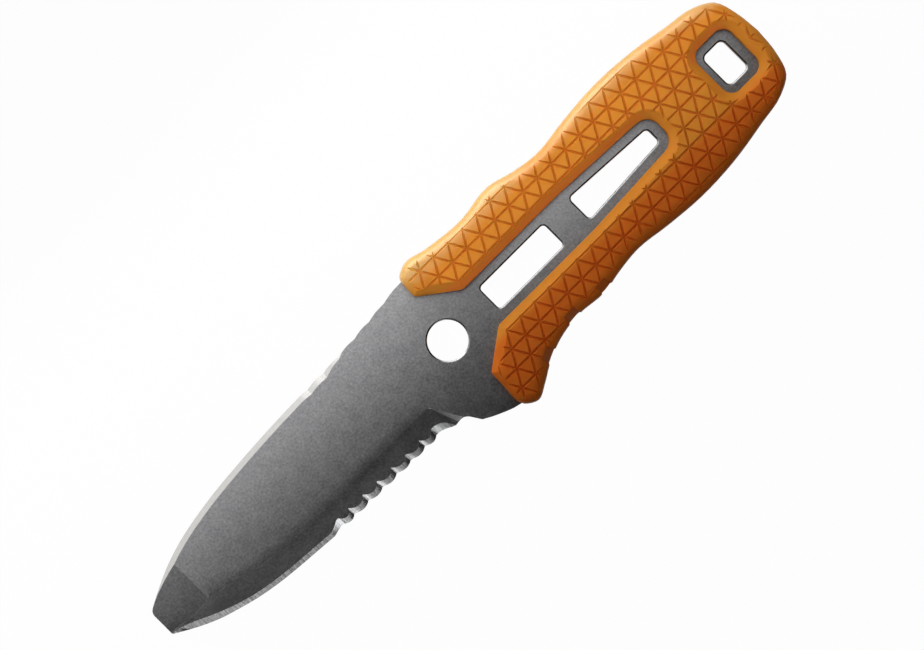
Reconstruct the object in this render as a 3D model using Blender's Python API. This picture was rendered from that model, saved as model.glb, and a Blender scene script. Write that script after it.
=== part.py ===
"""Fixed-blade rescue knife: a full-tang steel blade between two moulded grip scales.

All sizes are millimetres, drawn around the centre of the round hole in the ricasso:
X runs towards the butt, Y towards the spine and Z out of the side that is shown.
At the end an empty carries every piece to the shared frame, in which the knife lies
on its left scale with the origin under the middle of its bounding box.
"""
import math

import bmesh
import bpy
import numpy as np

MM = 0.001

# Clearances
FIT_GAP = 0.3          # between any two pieces that touch
PARTING_GAP = 0.3      # between the rims of the two scales

# Steel
STOCK = 3.2            # plate thickness of blade and tang
EDGE_LAND = 0.1        # width left on the cutting edge
BEVEL_HALF = 0.45      # half thickness where the edge bevel starts
TIP_X = -85.2          # end of the screwdriver tip
TIP_HALF = 0.6         # half thickness of the screwdriver tip
TIP_FACET = 10.8       # length of the facet that thins the tip
TIP_CORNER = 0.9       # rounding of the tip's upper corner
SWEDGE_WIDTH = 1.25    # bevel along the spine
SWEDGE_SLOPE = 0.6     # its rise over its width
SWEDGE_RUNOUT = (-24.5, -17.7)
SPINE_KNOTS = [(-85.2, 3.6), (-80, 6.3), (-76, 8.1), (-69.8, 10.1), (-60, 11.9), (-50, 12.9),
               (-38, 13.6), (-18, 14.15), (-9, 14.8), (2, 15.75)]
GRIND_KNOTS = [(-85.2, -0.8), (-80, -1.7), (-74.3, -2.6), (-70, -3.7), (-66, -4.8), (-60, -6.0),
               (-54.7, -6.5), (-48, -6.8), (-38, -6.95), (-14, -7.0)]
EDGE_KNOTS = [(-85.2, -2.8), (-80, -5.7), (-76, -7.5), (-72, -8.8), (-66, -10.35), (-60, -11.3),
              (-50, -12.15), (-46.3, -12.45)]
BEVEL_KNOTS = [(-85.2, 0.1), (-83, 1.0), (-80, 1.55), (-76, 1.5), (-71, 1.15), (-66, 1.05),
               (-46.3, 1.05)]
BEVEL_BASE_KNOTS = [(-46.3, -11.4), (-16, -11.9), (-9, -12.3)]

# Thumb grip along the spine: shallow scallops that meet in inward cusps
JIMP_FIRST = -28.4
JIMP_PITCH = 4.87
JIMP_COUNT = 6
JIMP_DEPTH = 0.26

# Serrations: rounded teeth between sharp notches, ground from the shown side only
SERRATION_FULL = -40.0     # notch where the first tooth of full width starts
SERRATION_PITCH = 4.14
SERRATION_TEETH = 5        # teeth of full width
FRONT_TOOTH = 3.1          # width of the narrower first tooth
REAR_TOOTH = 3.4           # width of the narrower last tooth
TOOTH_DEPTH = 0.62
TOOTH_SKEW = 1.2           # moves a tooth's lowest point towards the heel
TOOTH_STEPS = 10           # cross-sections over one tooth
TOOTH_BEVEL = 1.28         # bevel height over the middle of a tooth
NOTCH_BEVEL = 1.75         # bevel height over a notch
NOTCH_LINE = ((-43.1, -11.95), (-15.9, -12.5))
ENTRY_KNOTS = [(-46.3, -12.45), (-44.7, -12.05), (-43.7, -11.8), (-43.1, -11.95)]
HEEL_KNOTS = [(-15.9, -12.5), (-15.0, -12.5), (-13.3, -13.06), (-12.3, -13.6), (-11.4, -13.95)]
HEEL_BEVEL_KNOTS = [(-15.9, 1.75), (-14.2, 1.7), (-12.7, 1.5), (-11.4, 0.05)]
BACK_BEVEL = 0.25          # small bevel behind the serrations

# Plunge, choil and ricasso
PLUNGE_TOP = (-12.3, -8.2)
PLUNGE_FOOT = (-9.0, -13.95)
PLUNGE_SLOPE = 0.55
CHOIL_KNOTS = [(-11.4, -13.95), (-8.9, -13.95), (-8.0, -14.8), (-6.6, -17.0), (-4.6, -18.1), (0, -20.05),
               (2.4, -20.6), (5.0, -20.3)]

# Openings through the steel
EDGE_BREAK = 0.35          # chamfer around the hole and the slots
RICASSO_HOLE = 8.8
FRONT_SLOT = (12.5, 31.75)
SLOT_HALF = 3.15
SLOT_CORNER = 0.9
REAR_SLOT = (39.4, 61.4)
REAR_SLOT_END_HALF = 1.9
LANYARD_SLOT = (80.3, 86.0)
LANYARD_HALF = 4.15
LANYARD_CORNER = 1.2

# Grip scales
GRIP_THICKNESS = 13.0      # over both scales
RIM_HEIGHT = 3.4           # upright part of a scale's outer wall above mid-plane
OUTER_BORDER = 2.5         # plan width of the rounded border on the outside
WINDOW_BORDER = 2.0        # plan width of the sloping border around the openings
BORDER_RISE = [0.0, 0.42, 0.71, 0.9, 1.0]      # heights of the border's rings between rim and face
ROUNDED = [0.0, 0.1, 0.3, 0.58, 1.0]           # their plan distances on the outside
SLOPING = [0.0, 0.02, 0.43, 0.81, 1.0]         # and around the openings
SLOPE_FADE = (8.5, 12.0)   # distance from the middle line over which the slope turns round
END_NARROWING = 0.27       # share by which the rounded border is narrower at both ends
NOSE_NARROWING = (12.0, 7.0)
BUTT_NARROWING = (82.0, 87.0)
TANG_INSET = 1.95          # plastic outside the tang's edge
TANG_END = 90.0
TANG_END_CORNER = 5.0
SPINE_SIDE_KNOTS = [(1.5, 13.0), (2.0, 16.4), (4.9, 18.0), (10, 17.05), (20, 16.05), (29, 17.05),
                    (35, 15.5), (41, 14.65), (50, 15.65), (60, 16.35), (69.3, 15.85), (79.3, 14.3),
                    (86.5, 13.0), (90.4, 10.6), (92.0, 6.0), (92.7, 0.0)]
BELLY_SIDE_KNOTS = [(92.7, 0.0), (92.1, -6.0), (90.4, -10.8), (86.5, -13.1), (79.3, -14.5),
                    (69.3, -16.05), (59.3, -16.45), (50, -15.7), (42, -14.75), (36, -15.35),
                    (31, -16.25), (23, -15.7), (17, -16.65), (11.5, -18.95), (8, -21.05),
                    (4.8, -22.5), (2.0, -20.9), (1.65, -13.5)]
NOSE_X = 2.3               # where the slanted nose edges start
NOSE_HALF = 11.2
OPENING_FRONT = 9.9        # where the slant meets the long opening
OPENING_HALF = 5.3
OPENING_TAPER = 38.0
OPENING_END = 63.8
OPENING_END_HALF = 4.05
OPENING_CORNER = 3.3
NOSE_CORNER = 2.2
WINDOW = (78.6, 88.4)
WINDOW_HALF = 6.15
WINDOW_CORNER = 2.6
CHANNELS = [(11.5, 15.0), (20.5, 24.2), (29.8, 33.2)]   # finger channels across the belly edge
CHANNEL_DEPTH = 0.3
CHANNEL_RAMP = 0.3
CHANNEL_FOOT = 3.2         # height at which a channel's slanted floor meets the outline
CHANNEL_REACH = 1.9        # how far it reaches in at the face
OUTLINE_STEP = 2.4         # longest straight piece of a scale's outline

# Hidden lock pins through the tang
PIN_RADIUS = 2.0
PIN_REACH = 2.5            # how far a pin goes into each scale
PIN_CHAMFER = 0.4
PIN_STATIONS = [14.0, 31.0, 48.0]
PIN_ROW = 10.2             # distance of the two pin rows from the middle line
BRIDGE_PIN = (71.0, 7.0)

# Colours
STEEL = (0.31, 0.31, 0.32)
ORANGE = (0.72, 0.25, 0.035)


def along(knots, x):
    """Height of a smooth line through the knots at the station x."""
    if x <= knots[0][0]:
        return knots[0][1]
    if x >= knots[-1][0]:
        return knots[-1][1]
    slopes = [(b[1] - a[1]) / (b[0] - a[0]) for a, b in zip(knots, knots[1:])]
    i = max(k for k in range(len(slopes)) if knots[k][0] <= x)
    before = slopes[max(i - 1, 0)]
    after = slopes[min(i + 1, len(slopes) - 1)]
    width = knots[i + 1][0] - knots[i][0]
    t = (x - knots[i][0]) / width
    start = 0.5 * (before + slopes[i]) * width
    end = 0.5 * (slopes[i] + after) * width
    rise = knots[i + 1][1] - knots[i][1]
    return knots[i][1] + start * t + (3 * rise - 2 * start - end) * t ** 2 + (start + end - 2 * rise) * t ** 3


def blend(x, start, end):
    """Goes from 0 to 1 between two stations."""
    return min(max((x - start) / (end - start), 0.0), 1.0)


def path_through(knots, step):
    """Points along a smooth free curve through the knots, about one step apart."""
    pts = [np.array(k, float) for k in knots]
    chord = [np.linalg.norm(b - a) for a, b in zip(pts, pts[1:])]
    tangents = []
    for i, p in enumerate(pts):
        a = (pts[i] - pts[i - 1]) / chord[i - 1] if i > 0 else None
        b = (pts[i + 1] - pts[i]) / chord[i] if i < len(chord) else None
        if a is None or b is None:
            tangents.append(b if a is None else a)
        else:
            tangents.append((a * chord[i] + b * chord[i - 1]) / (chord[i] + chord[i - 1]))
    out = []
    for i, length in enumerate(chord):
        count = max(4, round(length / step))
        for k in range(count):
            t = k / count
            h1 = 2 * t ** 3 - 3 * t ** 2 + 1
            h2 = t ** 3 - 2 * t ** 2 + t
            h3 = 3 * t ** 2 - 2 * t ** 3
            h4 = t ** 3 - t ** 2
            out.append(h1 * pts[i] + h2 * length * tangents[i] + h3 * pts[i + 1] + h4 * length * tangents[i + 1])
    out.append(pts[-1])
    return out


def round_corner(before, corner, after, radius, count=6):
    """Points of the arc that rounds one corner of an outline."""
    b, c, a = (np.array(p, float) for p in (before, corner, after))
    u = (b - c) / np.linalg.norm(b - c)
    v = (a - c) / np.linalg.norm(a - c)
    half = 0.5 * math.acos(float(np.clip(np.dot(u, v), -1, 1)))
    centre = c + (u + v) / np.linalg.norm(u + v) * radius / math.sin(half)
    first = c + u * radius / math.tan(half) - centre
    last = c + v * radius / math.tan(half) - centre
    start = math.atan2(first[1], first[0])
    turn = math.atan2(first[0] * last[1] - first[1] * last[0], float(np.dot(first, last)))
    angles = [start + turn * k / count for k in range(count + 1)]
    return [centre + radius * np.array((math.cos(t), math.sin(t))) for t in angles]


def rounded_loop(corners, radius):
    """Closed outline through the corners, each rounded by the same radius."""
    loop = []
    for i, corner in enumerate(corners):
        loop += round_corner(corners[i - 1], corner, corners[(i + 1) % len(corners)], radius)
    return loop


def even(loop, step):
    """The closed outline with its long stretches divided."""
    out = []
    for a, b in zip(loop, loop[1:] + loop[:1]):
        count = max(1, math.ceil(np.linalg.norm(b - a) / step))
        out += [a + (b - a) * k / count for k in range(count)]
    return out


def circle_loop(x, y, radius, count=48):
    """Closed round outline."""
    angles = [2 * math.pi * k / count for k in range(count)]
    return [np.array((x + radius * math.cos(t), y + radius * math.sin(t))) for t in angles]


def moved_in(loop, distance):
    """The outline moved to its left by a distance, one for all points or one for each.

    Where it would cross itself it meets in a corner.
    """
    pts = np.array(loop)
    distance = np.broadcast_to(np.array(distance, float), len(pts))[:, None]
    ahead = np.roll(pts, -1, axis=0) - pts
    ahead /= np.linalg.norm(ahead, axis=1)[:, None]
    normal = np.stack((-ahead[:, 1], ahead[:, 0]), axis=1)
    joint = normal + np.roll(normal, 1, axis=0)
    joint /= np.maximum(np.sum(joint * normal, axis=1), 0.3)[:, None]
    out = pts + joint * distance
    ends = np.roll(pts, -1, axis=0)
    keep = []
    for p, far in zip(out, np.abs(distance[:, 0])):
        span = ends - pts
        t = np.clip(np.sum((p - pts) * span, axis=1) / np.sum(span * span, axis=1), 0, 1)
        keep.append(np.min(np.linalg.norm(pts + span * t[:, None] - p, axis=1)) > 0.985 * far)
    count = len(out)
    if all(keep) or not any(keep):
        return list(out)
    for i in range(count):
        if keep[i]:
            continue
        low = next(k for k in range(1, count) if keep[i - k])
        high = next(k for k in range(1, count) if keep[(i + k) % count])
        after = (i + high) % count
        out[i] = 0.5 * (pts[i - low] + joint[i - low] * distance[i - low] + pts[after]
                        + joint[after] * distance[after])
    return list(out)


def finish_mesh(name, bm, collection):
    """Turn a bmesh in millimetres into an object of the collection."""
    bmesh.ops.remove_doubles(bm, verts=bm.verts, dist=0.01)
    bmesh.ops.dissolve_degenerate(bm, edges=bm.edges, dist=0.001)
    bmesh.ops.scale(bm, vec=(MM, MM, MM), verts=bm.verts)
    bmesh.ops.recalc_face_normals(bm, faces=bm.faces)
    mesh = bpy.data.meshes.new(name)
    bm.to_mesh(mesh)
    bm.free()
    obj = bpy.data.objects.new(name, mesh)
    collection.objects.link(obj)
    return obj


def stack(name, levels, collection):
    """Solid through stacked outlines: each level is a height and its loops, outside first, then holes."""
    bm = bmesh.new()
    rings = [[[bm.verts.new((p[0], p[1], z)) for p in loop] for loop in loops] for z, loops in levels]
    for low, high in zip(rings, rings[1:]):
        for a, b in zip(low, high):
            for i in range(len(a)):
                j = (i + 1) % len(a)
                bm.faces.new((a[i], a[j], b[j], b[i]))
    bmesh.ops.remove_doubles(bm, verts=bm.verts, dist=0.01)
    for z in (levels[0][0], levels[-1][0]):
        rim = [e for e in bm.edges if e.is_boundary and all(abs(v.co.z - z) < 0.001 for v in e.verts)]
        bmesh.ops.triangle_fill(bm, edges=rim, use_beauty=True, normal=(0, 0, 1))
    return finish_mesh(name, bm, collection)


def cut(target, cutter):
    """Take the cutter away from the target."""
    mod = target.modifiers.new("cut", "BOOLEAN")
    mod.operation = "DIFFERENCE"
    mod.solver = "EXACT"
    mod.object = cutter
    depsgraph = bpy.context.evaluated_depsgraph_get()
    mesh = bpy.data.meshes.new_from_object(target.evaluated_get(depsgraph))
    mesh.name = target.name
    target.modifiers.clear()
    target.data = mesh


def clean(obj):
    """Join the doubled points that cutting leaves behind."""
    bm = bmesh.new()
    bm.from_mesh(obj.data)
    bmesh.ops.remove_doubles(bm, verts=bm.verts, dist=0.000005)
    bmesh.ops.dissolve_degenerate(bm, edges=bm.edges, dist=0.000001)
    bmesh.ops.triangulate(bm, faces=[f for f in bm.faces if len(f.verts) > 4])
    bmesh.ops.recalc_face_normals(bm, faces=bm.faces)
    bm.to_mesh(obj.data)
    bm.free()


def notches():
    """Stations of the notches between the serrations."""
    full = [SERRATION_FULL + SERRATION_PITCH * k for k in range(SERRATION_TEETH + 1)]
    return [full[0] - FRONT_TOOTH] + full + [full[-1] + REAR_TOOTH]


def tooth_at(x):
    """How far x lies through its tooth, from 0 at the front notch to 1 at the next."""
    marks = notches()
    i = max(k for k in range(len(marks) - 1) if marks[k] <= x or k == 0)
    return blend(x, marks[i], marks[i + 1])


def edge_height(x):
    """Lower outline of blade, choil and ricasso."""
    marks = notches()
    if x <= EDGE_KNOTS[-1][0]:
        return along(EDGE_KNOTS, x)
    if x <= marks[0]:
        return along(ENTRY_KNOTS, x)
    if x < marks[-1]:
        t = tooth_at(x) ** TOOTH_SKEW
        base = along(NOTCH_LINE, x)
        return base - TOOTH_DEPTH * (1 - (2 * t - 1) ** 2)
    if x <= HEEL_KNOTS[-1][0]:
        return along(HEEL_KNOTS, x)
    return lower_plate(x)


def bevel_height(x):
    """Height of the edge bevel on the shown side."""
    marks = notches()
    if x <= BEVEL_KNOTS[-1][0]:
        return along(BEVEL_KNOTS, x)
    if x <= marks[0]:
        t = blend(x, BEVEL_KNOTS[-1][0], marks[0])
        return BEVEL_KNOTS[-1][1] + (NOTCH_BEVEL - BEVEL_KNOTS[-1][1]) * t ** 2
    if x < marks[-1]:
        return TOOTH_BEVEL + (NOTCH_BEVEL - TOOTH_BEVEL) * abs(2 * tooth_at(x) - 1) ** 3
    return along(HEEL_BEVEL_KNOTS, x)


def tang_knots(side_knots, sign):
    """Line of the tang inside one side of the grip."""
    ordered = sorted(side_knots)
    inside = [k for k in ordered if 7 < k[0] < WINDOW[1] - 1]
    return [(x, y - sign * TANG_INSET) for x, y in inside]


def end_rounding(x):
    """Rounded corners at the tang's rear end."""
    reach = max(x - (TANG_END - TANG_END_CORNER), 0.0)
    return TANG_END_CORNER - math.sqrt(max(TANG_END_CORNER ** 2 - reach ** 2, 0.0))


def upper_plate(x):
    """Spine of the blade and upper outline of the tang."""
    line = SPINE_KNOTS + tang_knots(SPINE_SIDE_KNOTS, 1)
    height = along(line, x) - end_rounding(x)
    reach = max(TIP_CORNER - (x - TIP_X), 0.0)
    height -= TIP_CORNER - math.sqrt(max(TIP_CORNER ** 2 - reach ** 2, 0.0))
    first = JIMP_FIRST - 0.5 * JIMP_PITCH
    if first < x < JIMP_FIRST + (JIMP_COUNT - 0.5) * JIMP_PITCH:
        height -= JIMP_DEPTH * (1 - abs(math.sin(math.pi * (x - JIMP_FIRST) / JIMP_PITCH)))
    return height


def lower_plate(x):
    """Choil, ricasso and lower outline of the tang."""
    line = CHOIL_KNOTS + tang_knots(BELLY_SIDE_KNOTS, -1)
    return along(line, x) + end_rounding(x)


def blade_section(x):
    """Corners of the steel's cross-section at one station, down the shown side and up the other."""
    half = STOCK / 2
    top = upper_plate(x)
    bottom = edge_height(x)
    flat = min(half, TIP_HALF + (half - TIP_HALF) * (x - TIP_X) / TIP_FACET)
    if x >= PLUNGE_FOOT[0]:
        rows = [top, top - 1.0, bottom + 0.6, bottom + 0.4, bottom + 0.2, bottom]
        return [(y, half) for y in rows] + [(y, -half) for y in reversed(rows)]
    swedge = SWEDGE_WIDTH * (1 - blend(x, *SWEDGE_RUNOUT)) ** 0.7
    crest = half - SWEDGE_SLOPE * swedge
    swedge_foot = top - max((flat - crest) / SWEDGE_SLOPE, 0.2)
    plain = x <= BEVEL_KNOTS[-1][0]
    base = bottom + bevel_height(x) if plain else along(BEVEL_BASE_KNOTS, x)
    grind = along(GRIND_KNOTS, x)
    slope = (half - BEVEL_HALF) / (grind - base)
    plunge = PLUNGE_TOP[1] + (x - PLUNGE_TOP[0]) * (
        (PLUNGE_FOOT[1] - PLUNGE_TOP[1]) / (PLUNGE_FOOT[0] - PLUNGE_TOP[0]))

    def depth(y):
        ground = BEVEL_HALF + slope * (y - base)
        wall = half - PLUNGE_SLOPE * (plunge - y)
        if plunge < grind:
            ground = max(ground, wall)
        return min(flat, ground)

    shoulder = min(base + (flat - BEVEL_HALF) / slope, max(plunge, bottom + 0.6))
    bevel = bottom + max(bevel_height(x), 0.05)
    foot = shoulder - 0.3
    if plunge < grind:
        foot = (half - PLUNGE_SLOPE * plunge - BEVEL_HALF + slope * base) / (slope - PLUNGE_SLOPE)
    bevel = min(bevel, shoulder - 0.3)
    foot = min(max(foot, bevel + 0.1), shoulder - 0.1)
    one_sided = blend(x, BEVEL_KNOTS[-1][0], notches()[0])
    back_bevel = bevel + (min(bottom + BACK_BEVEL, bevel) - bevel) * one_sided
    back = depth(bottom)
    if x >= HEEL_KNOTS[-1][0]:
        front_edge = back
        rear_edge = -back
    else:
        front_edge = EDGE_LAND / 2 + (EDGE_LAND / 2 - back) * one_sided
        rear_edge = -EDGE_LAND / 2 + (EDGE_LAND / 2 - back) * one_sided
    shown = [(top, min(crest, flat)), (swedge_foot, flat), (shoulder, flat), (foot, depth(foot)),
             (bevel, depth(bevel)), (bottom, front_edge)]
    hidden = [(top, -min(crest, flat)), (swedge_foot, -flat), (shoulder, -flat), (foot, -depth(foot)),
              (back_bevel, -depth(back_bevel)), (bottom, rear_edge)]
    return shown + hidden[::-1]


def blade_stations():
    """Stations of the cross-sections, closest where the outline turns most."""
    marks = notches()
    stations = [TIP_X + TIP_CORNER * (1 - math.cos(math.pi / 2 * k / 3)) for k in range(4)]
    stations += list(np.arange(TIP_X + 2, TIP_X + TIP_FACET, 1.6)) + [TIP_X + TIP_FACET]
    stations += list(np.linspace(TIP_X + TIP_FACET + 2, EDGE_KNOTS[-1][0], 11))
    stations += [x for x, _ in ENTRY_KNOTS]
    for a, b in zip(marks, marks[1:]):
        stations += [a + (b - a) * k / TOOTH_STEPS for k in range(TOOTH_STEPS)]
    stations += [x for x, _ in HEEL_KNOTS] + [-14.2, -12.7]
    stations += [PLUNGE_TOP[0], -10.6, -10.0, -9.5, PLUNGE_FOOT[0]]
    stations += [x for x, _ in CHOIL_KNOTS]
    jimps = [JIMP_FIRST + JIMP_PITCH * k for k in range(JIMP_COUNT)]
    stations += [x for x in jimps] + [x + 0.6 for x in jimps] + [x - 0.6 for x in jimps]
    stations += [x + JIMP_PITCH / 2 for x in jimps]
    stations += list(np.arange(4, TANG_END - TANG_END_CORNER, 4.5))
    stations += [TANG_END - TANG_END_CORNER * (1 - math.sin(math.pi / 2 * k / 5)) for k in range(6)]
    kept = []
    for x in sorted(stations):
        if not kept or x - kept[-1] > 0.12:
            kept.append(x)
    return kept


def build_blade(parts, cutters):
    """The steel: one loft from tip to butt with its openings cut through."""
    bm = bmesh.new()
    rings = []
    for x in blade_stations():
        rings.append([bm.verts.new((x, y, z)) for y, z in blade_section(x)])
    for a, b in zip(rings, rings[1:]):
        for i in range(len(a)):
            j = (i + 1) % len(a)
            bm.faces.new((a[i], a[j], b[j], b[i]))
    bm.faces.new(rings[0])
    bm.faces.new(rings[-1])
    blade = finish_mesh("blade_tang", bm, parts)

    half = STOCK / 2
    loops = [circle_loop(0, 0, RICASSO_HOLE / 2)]
    x0, x1 = FRONT_SLOT
    corners = [(x0, -SLOT_HALF), (x1, -SLOT_HALF), (x1, SLOT_HALF), (x0, SLOT_HALF)]
    loops.append(rounded_loop(corners, SLOT_CORNER))
    x0, x1 = REAR_SLOT
    end = REAR_SLOT_END_HALF
    corners = [(x0, -SLOT_HALF), (x1, -end), (x1, end), (x0, SLOT_HALF)]
    loops.append(rounded_loop(corners, SLOT_CORNER))
    x0, x1 = LANYARD_SLOT
    corners = [(x0, -LANYARD_HALF), (x1, -LANYARD_HALF), (x1, LANYARD_HALF), (x0, LANYARD_HALF)]
    loops.append(rounded_loop(corners, LANYARD_CORNER))
    for number, loop in enumerate(loops):
        wide = moved_in(loop, -2 * EDGE_BREAK)
        levels = [(-half - EDGE_BREAK, [wide]), (EDGE_BREAK - half, [loop]), (half - EDGE_BREAK, [loop]),
                  (half + EDGE_BREAK, [wide])]
        cut(blade, stack(f"opening_cutter_{number}", levels, cutters))
    for number, (x, y) in enumerate(pin_places()):
        loop = circle_loop(x, y, PIN_RADIUS + FIT_GAP, 24)
        cut(blade, stack(f"tang_hole_cutter_{number}", [(-half - 1, [loop]), (half + 1, [loop])], cutters))
    clean(blade)
    return blade


def pin_places():
    """Where the lock pins stand."""
    rows = [(x, sign * PIN_ROW) for sign in (1, -1) for x in PIN_STATIONS]
    return rows + [(BRIDGE_PIN[0], BRIDGE_PIN[1]), (BRIDGE_PIN[0], -BRIDGE_PIN[1])]


def channel_share(x):
    """How far the finger channels are pressed in at a station, from 0 to 1."""
    return max(min(blend(x, a, a + CHANNEL_RAMP), 1 - blend(x, b - CHANNEL_RAMP, b)) for a, b in CHANNELS)


def belly_points():
    """Belly side of the grip with the finger channels pressed in."""
    out = []
    marks = [x for a, b in CHANNELS for x in (a, a + CHANNEL_RAMP, b - CHANNEL_RAMP, b)]
    smooth = path_through(BELLY_SIDE_KNOTS, OUTLINE_STEP)
    for a, b in zip(smooth, smooth[1:]):
        out.append(a)
        inside = [m for m in marks if min(a[0], b[0]) + 0.05 < m < max(a[0], b[0]) - 0.05 and a[1] < -15]
        for m in sorted(inside, reverse=True):
            out.append(a + (b - a) * (m - a[0]) / (b[0] - a[0]))
    out.append(smooth[-1])
    for p in out:
        if p[1] < -15:
            p[1] += CHANNEL_DEPTH * channel_share(p[0])
    return out


def grip_outline():
    """Outline of a scale, anticlockwise, with the long opening let in from the front."""
    spine = path_through(SPINE_SIDE_KNOTS[::-1], OUTLINE_STEP)
    belly = belly_points()[::-1]
    taper = [(OPENING_FRONT, OPENING_HALF), (OPENING_TAPER, OPENING_HALF), (OPENING_END, OPENING_END_HALF)]
    upper_nose = (NOSE_X - 0.7, NOSE_HALF + 0.2)
    loop = spine[:-1]
    loop += round_corner(spine[-1], upper_nose, taper[0], 1.0, 4)
    loop += round_corner(upper_nose, taper[0], taper[1], NOSE_CORNER, 5)
    loop.append(np.array(taper[1]))
    low_end = (OPENING_END, -OPENING_END_HALF)
    loop += round_corner(taper[1], taper[2], low_end, OPENING_CORNER, 6)
    mirrored = [np.array((p[0], -p[1])) for p in loop[len(spine) - 1 + 5:]]
    loop += mirrored[::-1]
    lower_nose = (NOSE_X - 0.7, -NOSE_HALF - 0.2)
    loop += round_corner((OPENING_FRONT, -OPENING_HALF), lower_nose, belly[0], 1.0, 4)
    loop += belly[1:-1]
    return even(loop, OUTLINE_STEP)


def window_outline():
    """Outline of the lanyard window, clockwise so that its left side is plastic."""
    x0, x1 = WINDOW
    corners = [(x0, -WINDOW_HALF), (x0, WINDOW_HALF), (x1, WINDOW_HALF), (x1, -WINDOW_HALF)]
    return rounded_loop(corners, WINDOW_CORNER)


def border_inset(point, ring):
    """Plan distance of one ring of the border from the outline at a point of the scale's outline."""
    slope = 1 - blend(abs(point[1]), *SLOPE_FADE) if point[0] < OPENING_END + OPENING_CORNER else 0.0
    narrow = END_NARROWING * max(blend(point[0], *NOSE_NARROWING), blend(point[0], *BUTT_NARROWING))
    return (1 - slope) * ROUNDED[ring] * OUTER_BORDER * (1 - narrow) + slope * SLOPING[ring] * WINDOW_BORDER


def channel_cutter(name, side, span, cutters):
    """Wedge that slants the border off over one finger channel."""
    belly = sorted((tuple(p) for p in belly_points() if p[1] < -NOSE_HALF), key=lambda p: p[0])
    a, b = (np.array((x, np.interp(x, [p[0] for p in belly], [p[1] for p in belly]))) for x in span)
    ahead = (b - a) / np.linalg.norm(b - a)
    inside = np.array((-ahead[1], ahead[0]))
    crown = GRIP_THICKNESS / 2
    levels = []
    for z in (CHANNEL_FOOT, crown + FIT_GAP):
        reach = CHANNEL_REACH * (z - CHANNEL_FOOT) / (crown - CHANNEL_FOOT)
        outside = inside * -2 * CHANNEL_REACH
        levels.append((side * z, [[a + outside, b + outside, b + inside * reach, a + inside * reach]]))
    return stack(name, levels[::side], cutters)


def build_scale(name, side, parts, cutters):
    """One moulded half of the grip; side is 1 for the shown half and -1 for the other."""
    outer = grip_outline()
    plain = [p - (0, CHANNEL_DEPTH * channel_share(p[0])) if p[1] < -14.6 else p for p in outer]
    window = window_outline()
    crown = GRIP_THICKNESS / 2
    levels = [(PARTING_GAP / 2, [outer, window])]
    for ring, share in enumerate(BORDER_RISE):
        loops = [outer, window]
        if ring:
            loops = [moved_in(plain, [border_inset(p, ring) for p in plain]),
                     moved_in(window, SLOPING[ring] * WINDOW_BORDER)]
        levels.append((RIM_HEIGHT + share * (crown - RIM_HEIGHT), loops))
    if side < 0:
        levels = [(-z, loops) for z, loops in levels[::-1]]
    scale = stack(name, levels, parts)
    pocket = STOCK / 2 + FIT_GAP
    cut(scale, stack(f"{name}_pocket", [(-pocket, [tang_outline(FIT_GAP)]), (pocket, [tang_outline(FIT_GAP)])],
                     cutters))
    for number, (x, y) in enumerate(pin_places()):
        loop = circle_loop(x, y, PIN_RADIUS + FIT_GAP, 24)
        depth = side * (pocket + PIN_REACH + FIT_GAP)
        ends = sorted((0.0, depth))
        cut(scale, stack(f"{name}_socket_{number}", [(ends[0], [loop]), (ends[1], [loop])], cutters))
    for number, (start, end) in enumerate(CHANNELS):
        span = (start + CHANNEL_RAMP, end - CHANNEL_RAMP)
        cut(scale, channel_cutter(f"{name}_channel_{number}", side, span, cutters))
    clean(scale)
    return scale


def tang_outline(clearance):
    """Outline of the steel inside the grip, grown by a clearance."""
    stations = [x for x in blade_stations() if x > -1]
    lower = [np.array((x, lower_plate(x))) for x in stations]
    upper = [np.array((x, upper_plate(x))) for x in stations]
    return moved_in(lower + upper[::-1], -clearance)


def build_pins(parts):
    """The hidden pins that lock the two scales through the tang."""
    pins = []
    reach = STOCK / 2 + FIT_GAP + PIN_REACH
    for number, (x, y) in enumerate(pin_places(), 1):
        body = circle_loop(x, y, PIN_RADIUS, 24)
        end = circle_loop(x, y, PIN_RADIUS - PIN_CHAMFER, 24)
        levels = [(-reach, [end]), (PIN_CHAMFER - reach, [body]), (reach - PIN_CHAMFER, [body]), (reach, [end])]
        pins.append(stack(f"lock_pin_{number}", levels, parts))
    return pins


def give_material(obj, colour, roughness, metallic):
    """A plain material of the object's own."""
    material = bpy.data.materials.new(obj.name)
    material.use_nodes = True
    shader = material.node_tree.nodes["Principled BSDF"]
    shader.inputs["Base Color"].default_value = (*colour, 1.0)
    shader.inputs["Roughness"].default_value = roughness
    shader.inputs["Metallic"].default_value = metallic
    obj.data.materials.clear()
    obj.data.materials.append(material)


def to_shared_frame(objects, collection):
    """Carry every piece on an empty, so that the knife lies on the ground around the origin."""
    corners = np.array([v.co for obj in objects for v in obj.data.vertices])
    low = corners.min(axis=0)
    high = corners.max(axis=0)
    frame = bpy.data.objects.new("knife_frame", None)
    collection.objects.link(frame)
    frame.location = (-(low[0] + high[0]) / 2, -(low[1] + high[1]) / 2, -low[2])
    for obj in objects:
        obj.parent = frame


def main():
    for obj in list(bpy.data.objects):
        bpy.data.objects.remove(obj, do_unlink=True)
    parts = bpy.data.collections.new("rescue_knife")
    cutters = bpy.data.collections.new("cutters")
    bpy.context.scene.collection.children.link(parts)
    bpy.context.scene.collection.children.link(cutters)
    blade = build_blade(parts, cutters)
    right = build_scale("grip_scale_right", 1, parts, cutters)
    left = build_scale("grip_scale_left", -1, parts, cutters)
    pins = build_pins(parts)
    give_material(blade, STEEL, 0.42, 1.0)
    for obj in [right, left] + pins:
        give_material(obj, ORANGE, 0.5, 0.0)
    for obj in cutters.objects:
        obj.hide_render = True
        obj.display_type = "WIRE"
    to_shared_frame([blade, right, left] + pins, parts)


main()
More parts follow.
